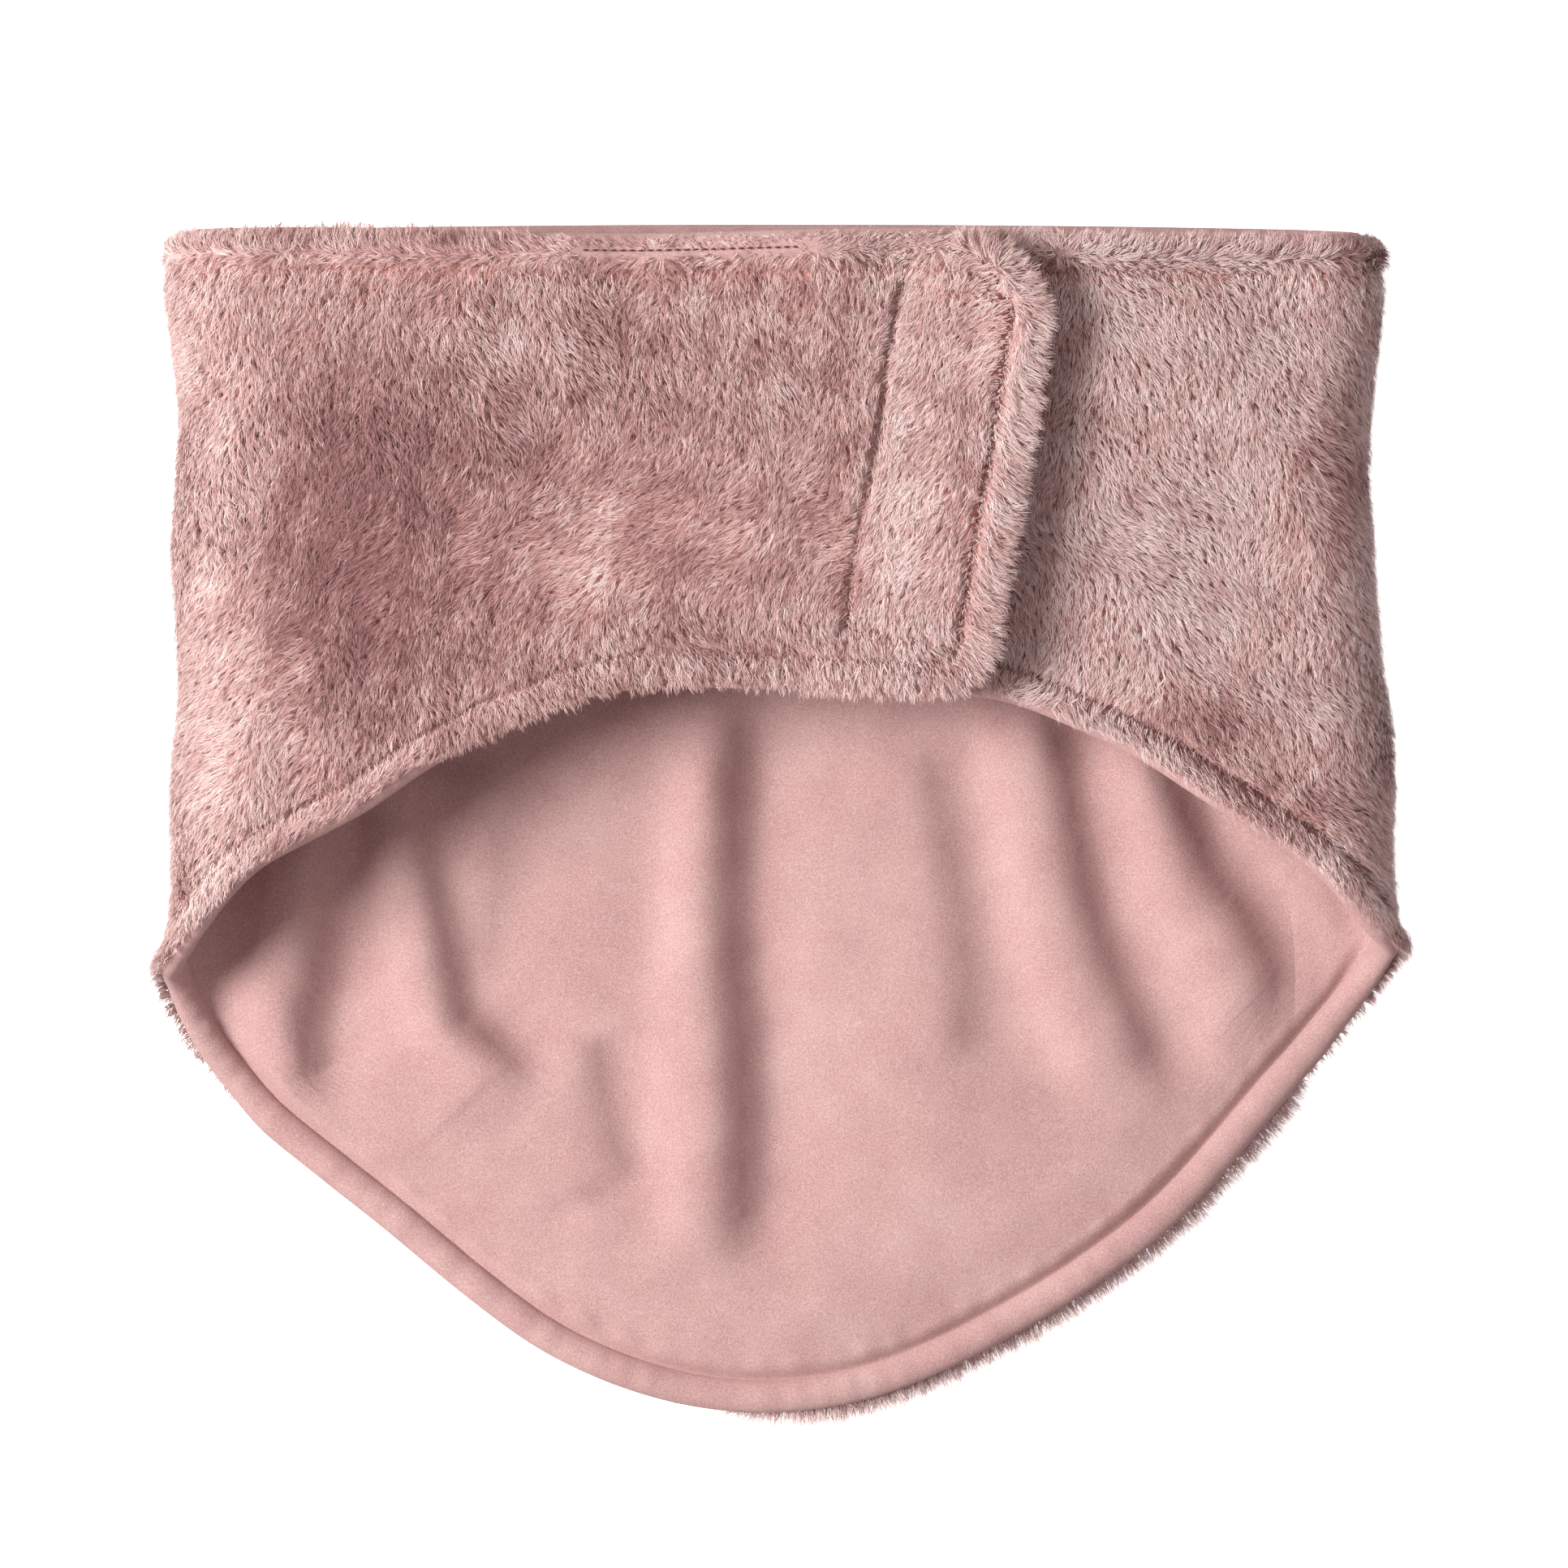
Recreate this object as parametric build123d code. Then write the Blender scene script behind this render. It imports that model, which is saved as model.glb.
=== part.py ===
"""Wrap-around neck warmer with a pointed bib, lying on its back on a flat surface.

A plush outer panel and a brushed jersey lining make one long band, bound along its edges. The band lies
as a flattened tube: the back and its bib rest on the surface, the two front wings lie above them, and the
closure flap at the end of the left wing laps over the right wing, where a hook tape meets a loop tape.
The band turns on its two side folds and on the flap's crease, so its panels are split there.

Frame: +Z up, +Y towards the collar's top edge, the bib's tip towards -Y, origin at the middle of the
footprint on the surface. Millimetres.
"""

from build123d import *
import math
import os

# Overall size
HALF_WIDTH = 137.0  # from the middle to the outside of each side fold
TOP_Y = 131.0  # top edge of both wings
BACK_TOP_Y = 133.0  # the back's top edge bows out a little further
OUTLINE_REACH = 165.0  # outlines run this far out in X, past the side folds
INSET_STEPS = 24  # points of a curve that runs beside another

# Layers, counted outwards from the lining's face
LINING = 1.0
PLUSH = 5.5  # knitted backing and pile
WALL = LINING + PLUSH
BINDING_WIDTH = 7.4  # bound edge on the lining side
BINDING_RISE = 0.8  # how far the bound edge stands proud of the lining

# Heights across the tube
TUBE_GAP = 24.0  # inside the tube under the right wing
LAP_GAP = 3.2  # between the flap's lining and the right wing's pile
BACK_FACE_Z = WALL
RIGHT_FACE_Z = BACK_FACE_Z + TUBE_GAP
LEFT_FACE_Z = RIGHT_FACE_Z + WALL + LAP_GAP

# Side folds: half circles about these points
LEFT_FOLD_R = (LEFT_FACE_Z - BACK_FACE_Z) / 2
RIGHT_FOLD_R = (RIGHT_FACE_Z - BACK_FACE_Z) / 2
LEFT_FOLD = (-(HALF_WIDTH - WALL - LEFT_FOLD_R), BACK_FACE_Z + LEFT_FOLD_R)
RIGHT_FOLD = (HALF_WIDTH - WALL - RIGHT_FOLD_R, BACK_FACE_Z + RIGHT_FOLD_R)

# Outlines seen from above, as points of smooth curves
LEFT_HEM = [
    (-OUTLINE_REACH, -66.0),
    (-137.0, -35.0),
    (-116.0, -14.5),
    (-91.0, -1.0),
    (-66.0, 14.5),
    (-44.0, 24.0),
    (-15.0, 27.0),
    (105.0, 25.0),
]
RIGHT_HEM = [
    (-24.0, 27.0),
    (40.0, 27.0),
    (64.0, 20.0),
    (92.0, 4.0),
    (115.0, -12.0),
    (137.0, -33.0),
    (OUTLINE_REACH, -64.0),
]
BIB_EDGE = [
    (-OUTLINE_REACH, 5.0),
    (-137.0, -35.0),
    (-121.0, -63.0),
    (-88.0, -92.0),
    (-56.0, -117.0),
    (-28.0, -129.6),
    (2.0, -132.9),
    (35.0, -125.0),
    (70.0, -104.0),
    (105.0, -69.0),
    (137.0, -33.0),
    (OUTLINE_REACH, 0.0),
]

# Closure flap and under-lap
FLAP_CREASE_X = 6.0  # where the flap peels away from the left wing
UNDERLAP_X = -4.0  # end of the right wing, hidden under the flap
FLAP_END_X = 65.0  # the flap's end at the top edge, from where it leans back with the tape
FLAP_RADIUS = 12.0  # corners of the flap and of the under-lap
SPLIT_GAP = 0.6  # between the solids of bodies that turn against each other

# Hook and loop tapes, 25 mm tape leaning with the flap's end
TAPE_WIDTH = 25.0
TAPE_LENGTH = 77.0
TAPE_CORNER = 3.0
TAPE_BASE = 0.7
TAPE_CENTRE = (32.5, 78.5)
TAPE_LEAN = -9.5  # degrees about +Z
HOOK_HEIGHT = 0.7
HOOK_R = 0.28
HOOK_FIELD = (20.0, 71.0)
HOOKS = (9, 30)
LOOP_PILE = 0.6
LOOP_FIELD = (21.0, 73.0)

# Stitching
THREAD_R = 0.3
STITCH_LENGTH = 2.4
STITCH_PITCH = 3.4
EDGE_SEAM = 8.2  # distance of the edge stitching from the edge, just inside the binding
TAPE_SEAM = 1.6  # distance of the tapes' stitching from their edges
GAP_SEAM = (-45.0, 4.0)  # x range where the turning gap is closed by hand at the top edge
GAP_SEAM_INSET = 4.6

TALL = 100.0
LONG = 400.0


def band(inner, outer):
    """The wall between two depths, from the under-lap round the tube to the flap, as one extrusion."""

    def line(depth):
        right_r = RIGHT_FOLD_R + depth
        left_r = LEFT_FOLD_R + depth
        start = (UNDERLAP_X - 1, RIGHT_FACE_Z + depth)
        right_high = (RIGHT_FOLD[0], RIGHT_FOLD[1] + right_r)
        right_out = (RIGHT_FOLD[0] + right_r, RIGHT_FOLD[1])
        right_low = (RIGHT_FOLD[0], RIGHT_FOLD[1] - right_r)
        left_low = (LEFT_FOLD[0], LEFT_FOLD[1] - left_r)
        left_out = (LEFT_FOLD[0] - left_r, LEFT_FOLD[1])
        left_high = (LEFT_FOLD[0], LEFT_FOLD[1] + left_r)
        end = (FLAP_END_X + 5, LEFT_FACE_Z + depth)
        edges = [
            Line(start, right_high),
            ThreePointArc(right_high, right_out, right_low),
            Line(right_low, left_low),
            ThreePointArc(left_low, left_out, left_high),
            Line(left_high, end),
        ]
        return edges, start, end

    near, near_start, near_end = line(inner)
    far, far_start, far_end = line(outer)
    wire = Wire([*near, Line(near_end, far_end), *far, Line(far_start, near_start)])
    return extrude(Plane.XZ * Face(wire), amount=LONG / 2, both=True)


def inset_curve(points, inset):
    """A smooth curve that runs beside the one through points, inset towards its left."""
    curve = Spline(*points)
    if not inset:
        return curve
    moved = []
    for step in range(INSET_STEPS + 1):
        spot = curve.position_at(step / INSET_STEPS)
        way = curve.tangent_at(step / INSET_STEPS)
        moved.append((spot.X - inset * way.Y, spot.Y + inset * way.X))
    return Spline(*moved)


def above(curve, top_edges):
    """Face in XY between a curve and the edges above it, closed by a line at each side."""
    top_left, top_right = top_edges @ 0, top_edges @ 1
    return Face(Wire([top_edges, Line(top_right, curve @ 1), curve, Line(curve @ 0, top_left)]))


def rounded(face, x, radius):
    """The face with its two corners nearest to one x value rounded."""
    for y in (TOP_Y, 0):
        corner = face.vertices().sort_by_distance((x, y))[0]
        face = fillet(corner, radius).face()
    return face


def back_outline(inset=0.0):
    """Face in XY that covers the back and the bib, running out past the side folds."""
    left = (-OUTLINE_REACH, TOP_Y - inset)
    right = (OUTLINE_REACH, TOP_Y - inset)
    return above(inset_curve(BIB_EDGE, inset), ThreePointArc(left, (0, BACK_TOP_Y - inset), right))


def left_outline(inset=0.0):
    """Face in XY that covers the left wing and the closure flap."""
    top = Line((-OUTLINE_REACH, TOP_Y - inset), (FLAP_END_X + 40, TOP_Y - inset))
    face = above(inset_curve(LEFT_HEM, inset), top)
    end = Pos(FLAP_END_X, TOP_Y) * Rot(0, 0, TAPE_LEAN) * Pos(-inset, 0)
    kept = end * Rectangle(LONG, LONG, align=(Align.MAX, Align.CENTER))
    return rounded((face & kept).face(), FLAP_END_X, FLAP_RADIUS - inset)


def right_outline(inset=0.0):
    """Face in XY that covers the right wing and its under-lap."""
    top = Line((UNDERLAP_X - 20, TOP_Y - inset), (OUTLINE_REACH, TOP_Y - inset))
    face = above(inset_curve(RIGHT_HEM, inset), top)
    kept = Pos(UNDERLAP_X + inset, 0) * Rectangle(LONG, LONG, align=(Align.MIN, Align.CENTER))
    return rounded((face & kept).face(), UNDERLAP_X, FLAP_RADIUS - inset)


def column(face):
    """Everything above and below a face in XY."""
    return extrude(face, amount=TALL, both=True)


def block(x_low, x_high, z_low, z_high):
    """A block over the whole length between two x values and two heights."""
    centre = Pos((x_low + x_high) / 2, 0, (z_low + z_high) / 2)
    return centre * Box(x_high - x_low, LONG, z_high - z_low)


def body_spaces():
    """The space that each body's cloth fills, split at the side folds and at the flap's crease."""
    lap_z = RIGHT_FACE_Z + WALL + LAP_GAP / 2
    fold = block(-LONG, LEFT_FOLD[0] + 1, LEFT_FOLD[1] + SPLIT_GAP, TALL)
    left = fold + block(LEFT_FOLD[0], FLAP_CREASE_X - SPLIT_GAP, lap_z, TALL)
    flap = block(FLAP_CREASE_X, LONG, lap_z, TALL)
    right = block(UNDERLAP_X - 1, LONG, RIGHT_FOLD[1] + SPLIT_GAP, lap_z)
    low = block(-LONG, 0, -TALL, LEFT_FOLD[1]) + block(-1, LONG, -TALL, RIGHT_FOLD[1])
    return {"back": low, "left": left, "flap": flap, "right": right}


def cloth(space, outline):
    """Plush, lining and the binding ring of one body, inside an outline seen from above."""
    inside = column(outline(BINDING_WIDTH))
    whole = column(outline())
    plush = band(LINING, WALL) & space & whole
    lining = band(0, LINING) & space & inside
    binding = (band(-BINDING_RISE, LINING) & space & whole) - inside
    return plush, lining, binding


def stitches_along(edges, z, turn=0.0):
    """Separate stitches at an even pitch along edges in XY, lying at one height."""
    made = []
    for edge in edges:
        count = max(1, int(edge.length / STITCH_PITCH))
        for index in range(count):
            share = (index + 0.5) / count
            spot = edge.position_at(share)
            way = edge.tangent_at(share)
            angle = math.degrees(math.atan2(way.Y, way.X))
            thread = Rot(0, 0, angle) * Rot(0, 90, 0) * Cylinder(THREAD_R, STITCH_LENGTH)
            made.append(Pos(spot.X, spot.Y, z) * thread)
    return made


def seam(outline, z, x_low, x_high):
    """The edge stitching of one outline between two x values, as separate stitches."""
    line = outline(EDGE_SEAM).outer_wire()
    wanted = [s for s in stitches_along(line.edges(), z) if x_low < s.center().X < x_high]
    return Compound(children=wanted)


def tape_place(z):
    """Where the middle of a tape lies, at one height."""
    return Pos(TAPE_CENTRE[0], TAPE_CENTRE[1], z) * Rot(0, 0, TAPE_LEAN)


def tape_base(z_low):
    """The woven ground of a tape, with rounded corners."""
    sheet = RectangleRounded(TAPE_WIDTH, TAPE_LENGTH, TAPE_CORNER)
    return tape_place(z_low) * extrude(sheet, amount=TAPE_BASE)


def hook_tape():
    """Hook tape under the flap: woven ground with rows of short stems."""
    ground = tape_base(LEFT_FACE_Z - TAPE_BASE)
    across, along = HOOKS
    places = GridLocations(HOOK_FIELD[0] / (across - 1), HOOK_FIELD[1] / (along - 1), across, along)
    stem = Cylinder(HOOK_R, HOOK_HEIGHT)
    z = LEFT_FACE_Z - TAPE_BASE - HOOK_HEIGHT / 2
    return ground, Compound(children=[tape_place(z) * place * stem for place in places])


def loop_tape():
    """Loop tape on the right wing: woven ground with a low, soft pile."""
    z = RIGHT_FACE_Z + WALL
    pile = extrude(RectangleRounded(*LOOP_FIELD, TAPE_CORNER), amount=LOOP_PILE)
    return tape_base(z) + tape_place(z + TAPE_BASE) * pile


def tape_stitches(z):
    """The box of stitches that holds a tape, as separate stitches."""
    box = RectangleRounded(TAPE_WIDTH - 2 * TAPE_SEAM, TAPE_LENGTH - 2 * TAPE_SEAM, TAPE_CORNER / 2)
    line = tape_place(0) * box
    straight = [e for e in line.face().outer_wire().edges() if e.length > STITCH_PITCH]
    return Compound(children=stitches_along(straight, z))


def gap_stitches():
    """The hand stitches that close the turning gap, on the plush side of the left wing's top edge."""
    line = Line(*[(x, TOP_Y - GAP_SEAM_INSET) for x in GAP_SEAM])
    return Compound(children=stitches_along([line], LEFT_FACE_Z + WALL + THREAD_R))


def build():
    """Every sub-part by the name of its node."""
    spaces = body_spaces()
    outlines = {"back": back_outline, "left": left_outline, "flap": left_outline, "right": right_outline}
    parts = {}
    for name, outline in outlines.items():
        plush, lining, binding = cloth(spaces[name], outline)
        parts[f"{name}_plush"] = plush
        parts[f"{name}_lining"] = lining
        pieces = binding.solids().sort_by(Axis.Y)
        if name in ("back", "left"):
            parts["bib_binding" if name == "back" else "left_hem_binding"] = pieces[0]
            parts[f"{name}_top_binding"] = pieces[-1]
        else:
            parts[f"{name}_binding"] = pieces[0]

    low, high = LEFT_FOLD[0], RIGHT_FOLD[0]
    back_z = BACK_FACE_Z + THREAD_R
    parts["back_stitching"] = seam(back_outline, back_z, low, high)
    parts["left_stitching"] = seam(left_outline, LEFT_FACE_Z - THREAD_R, low, FLAP_CREASE_X - STITCH_LENGTH)
    parts["flap_stitching"] = seam(left_outline, LEFT_FACE_Z - THREAD_R, FLAP_CREASE_X + STITCH_LENGTH, LONG)
    parts["right_stitching"] = seam(right_outline, RIGHT_FACE_Z - THREAD_R, UNDERLAP_X, high)
    parts["gap_stitches"] = gap_stitches()
    parts["hook_tape"], parts["hooks"] = hook_tape()
    parts["hook_tape_stitches"] = tape_stitches(LEFT_FACE_Z - TAPE_BASE - THREAD_R)
    parts["loop_tape"] = loop_tape()
    parts["loop_tape_stitches"] = tape_stitches(RIGHT_FACE_Z + WALL + TAPE_BASE + THREAD_R)
    return parts


os.makedirs("parts", exist_ok=True)
for node, shape in build().items():
    export_step(shape, f"parts/{node}.step")
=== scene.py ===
import math

import bpy
import numpy as np
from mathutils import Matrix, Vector


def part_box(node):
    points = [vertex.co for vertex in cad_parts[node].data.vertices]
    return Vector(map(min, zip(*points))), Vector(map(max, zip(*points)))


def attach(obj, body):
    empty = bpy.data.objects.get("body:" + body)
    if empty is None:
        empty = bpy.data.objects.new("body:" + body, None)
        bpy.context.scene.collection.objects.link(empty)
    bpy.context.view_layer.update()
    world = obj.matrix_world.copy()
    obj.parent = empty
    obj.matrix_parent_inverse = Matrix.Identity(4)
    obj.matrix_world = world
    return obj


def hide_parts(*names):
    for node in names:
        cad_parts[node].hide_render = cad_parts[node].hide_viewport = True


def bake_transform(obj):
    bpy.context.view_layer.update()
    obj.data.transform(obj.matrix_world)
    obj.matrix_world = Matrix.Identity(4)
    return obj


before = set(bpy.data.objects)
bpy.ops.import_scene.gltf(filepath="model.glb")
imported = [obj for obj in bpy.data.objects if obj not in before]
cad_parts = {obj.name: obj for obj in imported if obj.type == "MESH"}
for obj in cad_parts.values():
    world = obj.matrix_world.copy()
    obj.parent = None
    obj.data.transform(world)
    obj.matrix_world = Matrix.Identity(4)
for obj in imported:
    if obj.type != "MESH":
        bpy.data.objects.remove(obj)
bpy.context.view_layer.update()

# The neck warmer lies on its back: the back and its bib are on the floor, and the two wings are above them.
# Lengths are millimetres, and MM turns them into the frame's metres. A place on the cloth is given by its
# girth (along the band, from the bottom of a side fold outwards and up), its height (y, towards the top
# edge) and its depth (from the lining's face outwards, through the cloth).
MM = 0.001


def low(node):
    return np.array(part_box(node)[0]) / MM


def high(node):
    return np.array(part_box(node)[1]) / MM


# Layers, from the CAD
LINING = 1.0
HALF_WIDTH = high("back_plush")[0]
TOP_Y = high("left_plush")[1]
BACK_FACE_Z = low("back_lining")[2] + LINING
RIGHT_FACE_Z = high("right_lining")[2] - LINING
LEFT_FACE_Z = high("left_lining")[2] - LINING
WALL = high("left_plush")[2] - LEFT_FACE_Z
UNDERLAP_X = low("right_plush")[0]
TAPE_CENTRE = ((low("hook_tape") + high("hook_tape")) / 2)[:2]
TAPE_SIZE = np.array([25.0, 77.0])
TAPE_LEAN = math.radians(-9.5)

# Where pieces of one sheet meet, and where cloth turns with a joint
BACK_SEAM_X = 111.0
WING_SEAM_X = -70.0

# Edges
ROLL_WIDTH = 7.4
ROLL_RISE = 2.7  # half of the rolled edge's thickness
ROLL_DEPTH = 1.3  # depth of its middle
EDGE_TUCK = 6.6  # the lining ends this far in, under the roll
SEAM_INSET = 8.4
FLAP_RADII = (14.0, 21.0)  # lower and upper corner of the flap
UNDERLAP_RADII = (12.0, 12.0)
FLAP_END_X = 63.0  # at the top edge

# Pile
BACKING_DEPTH = 2.3
SEAM_DIP = 1.25
PILE = 4.3

# Outlines from above, as points of smooth curves
BIB_EDGE = [
    (-137.0, -36.0),
    (-131.0, -50.0),
    (-121.0, -63.0),
    (-104.0, -78.5),
    (-88.0, -92.0),
    (-72.0, -106.0),
    (-56.0, -118.0),
    (-40.0, -126.0),
    (-24.0, -131.0),
    (-10.0, -133.0),
    (1.0, -133.0),
    (16.0, -131.0),
    (33.5, -125.0),
    (51.5, -116.0),
    (69.5, -105.0),
    (87.5, -90.5),
    (105.5, -69.5),
    (114.5, -58.0),
    (125.0, -45.0),
    (137.0, -31.0),
]
LEFT_HEM = [
    (-137.0, -36.0),
    (-126.0, -22.0),
    (-116.0, -12.5),
    (-104.0, -5.5),
    (-91.0, 1.5),
    (-79.0, 10.0),
    (-66.0, 17.0),
    (-55.0, 21.5),
    (-44.0, 26.0),
    (-30.0, 28.5),
    (-10.0, 28.5),
    (20.0, 27.0),
    (70.0, 26.0),
]
RIGHT_HEM = [
    (-10.0, 27.5),
    (35.0, 27.5),
    (51.5, 25.0),
    (64.0, 20.0),
    (78.0, 13.5),
    (92.5, 4.0),
    (105.0, -4.0),
    (115.0, -11.0),
    (126.5, -23.0),
    (137.0, -31.0),
]
# How far the side folds reach out at each height y
LEFT_REACH = [(-60, 140.5), (-36, 141.5), (-18, 138.8), (5, 137.0), (60, 136.4), (105, 137.6),
              (119, 138.6), (127, 137.4), (132, 133.5)]
RIGHT_REACH = [(-60, 140.0), (-29, 141.6), (-10, 138.4), (25, 136.4), (66, 132.6), (105, 134.8),
               (119, 135.2), (127, 134.2), (132, 130.5)]


def smooth_curve(points, x):
    """A smooth curve through points, evaluated at x."""
    px, py = np.array(points, float).T
    slope = np.gradient(py, px)
    i = np.clip(np.searchsorted(px, x) - 1, 0, len(px) - 2)
    h = px[i + 1] - px[i]
    t = np.clip((x - px[i]) / h, 0, 1)
    a = (1 + 2 * t) * (1 - t) ** 2 * py[i] + t * t * (3 - 2 * t) * py[i + 1]
    b = t * (1 - t) ** 2 * h * slope[i] - t * t * (1 - t) * h * slope[i + 1]
    return a + b


def smooth_step(low_value, high_value, x):
    t = np.clip((x - low_value) / (high_value - low_value), 0, 1)
    return t * t * (3 - 2 * t)


def waves(x, y, length, seed, count=7):
    """Smooth random hills between about -1 and 1, with the given distance from crest to crest."""
    rng = np.random.default_rng(seed)
    total = np.zeros(np.broadcast(x, y).shape)
    for angle, phase, stretch in zip(
        rng.uniform(0, math.tau, count), rng.uniform(0, math.tau, count), rng.uniform(0.7, 1.5, count)
    ):
        along = x * math.cos(angle) + y * math.sin(angle)
        total += np.cos(along * math.tau / (length * stretch) + phase)
    return total / math.sqrt(count)


class Track:
    """The band's path on one side: along the back, round the side fold and along the wing."""

    def __init__(self, side, wing_face_z, hem, reach):
        self.side = side
        self.radius = (wing_face_z - BACK_FACE_Z) / 2
        self.centre = HALF_WIDTH - WALL - self.radius
        self.centre_z = BACK_FACE_Z + self.radius
        self.arc = math.pi * (self.radius + WALL / 2)
        self.reach = reach
        g = np.linspace(-HALF_WIDTH, self.arc + 2 * HALF_WIDTH, 4000)
        out = self.section(g, WALL)[0]
        raw = np.where(
            g < self.arc / 2,
            smooth_curve(BIB_EDGE, self.side * out),
            smooth_curve(hem, self.side * out),
        )
        step = g[1] - g[0]
        reach_steps = int(8 / step)
        kernel = np.exp(-0.5 * (np.arange(-reach_steps, reach_steps + 1) * step / 3.0) ** 2)
        padded = np.pad(raw, reach_steps, mode="edge")
        self.g, self.low_y = g, np.convolve(padded, kernel / kernel.sum(), mode="valid")

    def section(self, g, depth):
        """Distance out from the middle, and height, of the cloth at one girth and depth."""
        turn = np.clip(g / self.arc, 0, 1) * math.pi - math.pi / 2
        r = self.radius + depth
        out = self.centre + r * np.cos(turn) + np.minimum(g, 0) - np.maximum(g - self.arc, 0)
        return out, self.centre_z + r * np.sin(turn)

    def girth(self, x, on_wing):
        """The girth at which the flat back, or the flat wing, passes x."""
        out = self.side * x
        return self.arc + self.centre - out if on_wing else out - self.centre

    def x(self, g):
        """The x of the cloth's middle at one girth, before the side folds reach out."""
        return self.side * self.section(g, WALL / 2)[0]

    def lower(self, g):
        return np.interp(g, self.g, self.low_y)

    def upper(self, g):
        """Height of the top edge: the back's bows out a little."""
        on_wing = smooth_step(0, self.arc, g)
        back = TOP_Y + 1.5 * (1 - (self.x(g) / HALF_WIDTH) ** 2)
        return back * (1 - on_wing) + (TOP_Y - 1.5 + 0.6 * np.sin(self.x(g) / 23.0)) * on_wing


left = Track(-1, LEFT_FACE_Z, LEFT_HEM, LEFT_REACH)
right = Track(1, RIGHT_FACE_Z, RIGHT_HEM, RIGHT_REACH)


def tape_frame(x, y):
    """Places in the tape's own axes: across it and along it, from its middle."""
    dx, dy = x - TAPE_CENTRE[0], y - TAPE_CENTRE[1]
    c, s = math.cos(TAPE_LEAN), math.sin(TAPE_LEAN)
    return dx * c + dy * s, -dx * s + dy * c


def tape_distance(x, y):
    """Distance from the tape's outline, negative inside it."""
    across, along = tape_frame(x, y)
    qx = np.abs(across) - TAPE_SIZE[0] / 2
    qy = np.abs(along) - TAPE_SIZE[1] / 2
    outside = np.hypot(np.maximum(qx, 0), np.maximum(qy, 0))
    return outside + np.minimum(np.maximum(qx, qy), 0)


def place(track, g, y, depth):
    """Points in millimetres for places on the cloth."""
    g, y, depth = np.broadcast_arrays(np.asarray(g, float), y, depth)
    out, z = track.section(g, depth)
    reach = smooth_curve(track.reach, y)
    far = smooth_step(60, HALF_WIDTH, out)
    out = out + far * (reach - HALF_WIDTH)
    x = track.side * out
    on_wing = smooth_step(track.arc * 0.5, track.arc * 1.2, g)
    near_tape = smooth_step(2, 14, tape_distance(x, y))
    hills = waves(x, y, 62, 11) * 1.1 + waves(x, y, 27, 12) * 0.35
    z = z + on_wing * near_tape * hills
    fold = smooth_step(0.1, 0.5, g / track.arc) * smooth_step(1.3, 0.7, g / track.arc)
    x = x + track.side * fold * (waves(y, z, 48, 13) * 0.9)
    return np.stack([x, y, z], -1)


# ---------------------------------------------------------------- outlines on the developed cloth


def even(points, step=0.5):
    """The polyline through points, cut into even steps."""
    points = np.asarray(points, float)
    run = np.r_[0, np.cumsum(np.hypot(*np.diff(points, axis=0).T))]
    at = np.linspace(0, run[-1], max(2, int(run[-1] / step)))
    return np.stack([np.interp(at, run, points[:, 0]), np.interp(at, run, points[:, 1])], -1)


def inward(points):
    """Unit normals of an outline, towards the cloth, which is on its left."""
    way = np.gradient(points, axis=0)
    way /= np.linalg.norm(way, axis=1)[:, None]
    return np.stack([-way[:, 1], way[:, 0]], -1)


class Outline:
    """The edge of one side's cloth, in girth and height, in even steps."""

    def __init__(self, points):
        self.points = even(points)
        self.normals = inward(self.points)

    def inset(self, distance):
        return self.points + self.normals * distance

    def nearest(self, g, y):
        """Distance inside the edge, and the inward direction there."""
        g, y = np.ravel(g).astype(np.float32), np.ravel(y).astype(np.float32)
        pts = self.points.astype(np.float32)
        index = np.empty(len(g), int)
        for start in range(0, len(g), 20000):
            part = slice(start, start + 20000)
            d2 = (g[part, None] - pts[:, 0]) ** 2 + (y[part, None] - pts[:, 1]) ** 2
            index[part] = d2.argmin(1)
        n = self.normals[index]
        away = np.stack([g, y], -1) - self.points[index]
        along = away[:, 0] * n[:, 1] - away[:, 1] * n[:, 0]
        distance = (away * n).sum(1)
        distance = np.sign(distance) * np.hypot(distance, np.where(np.abs(along) > 1, along, 0))
        return distance, n


def corner(centre, radius, start, end):
    angle = np.radians(np.linspace(start, end, 24))
    return np.stack([centre[0] + radius * np.cos(angle), centre[1] + radius * np.sin(angle)], -1)


def end_outline(track, end_x, lean, radii):
    """The cloth's edge from the back along the lower edge, round the wing's end and back along the top.

    It is made with the wing's x running away from the fold, and the end leans by an angle."""
    low_r, top_r = radii
    g_end = track.girth(end_x, True)
    g = np.arange(-60.0, g_end + 30, 1.0)
    low_line = np.stack([g, track.lower(g)], -1)
    top_line = np.stack([g, track.upper(g)], -1)

    def end_g(y):
        return g_end - (TOP_Y - y) * math.tan(lean)

    low_g = end_g(30.0)
    low_y = float(track.lower(low_g))
    top_y = float(track.upper(g_end))
    slope = math.degrees(lean)
    low_centre = (end_g(low_y + low_r) - low_r / math.cos(lean), low_y + low_r)
    top_centre = (end_g(top_y - top_r) - top_r / math.cos(lean), top_y - top_r)
    low_arc = corner(low_centre, low_r, -90, -slope)
    top_arc = corner(top_centre, top_r, -slope, 90)
    points = [low_line[low_line[:, 0] < low_arc[0, 0] - 2], low_arc, top_arc]
    points.append(top_line[top_line[:, 0] < top_arc[-1, 0] - 2][::-1])
    return Outline(np.concatenate(points))


left_edge = end_outline(left, FLAP_END_X, -TAPE_LEAN, FLAP_RADII)
right_edge = end_outline(right, UNDERLAP_X, 0.0, UNDERLAP_RADII)


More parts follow.
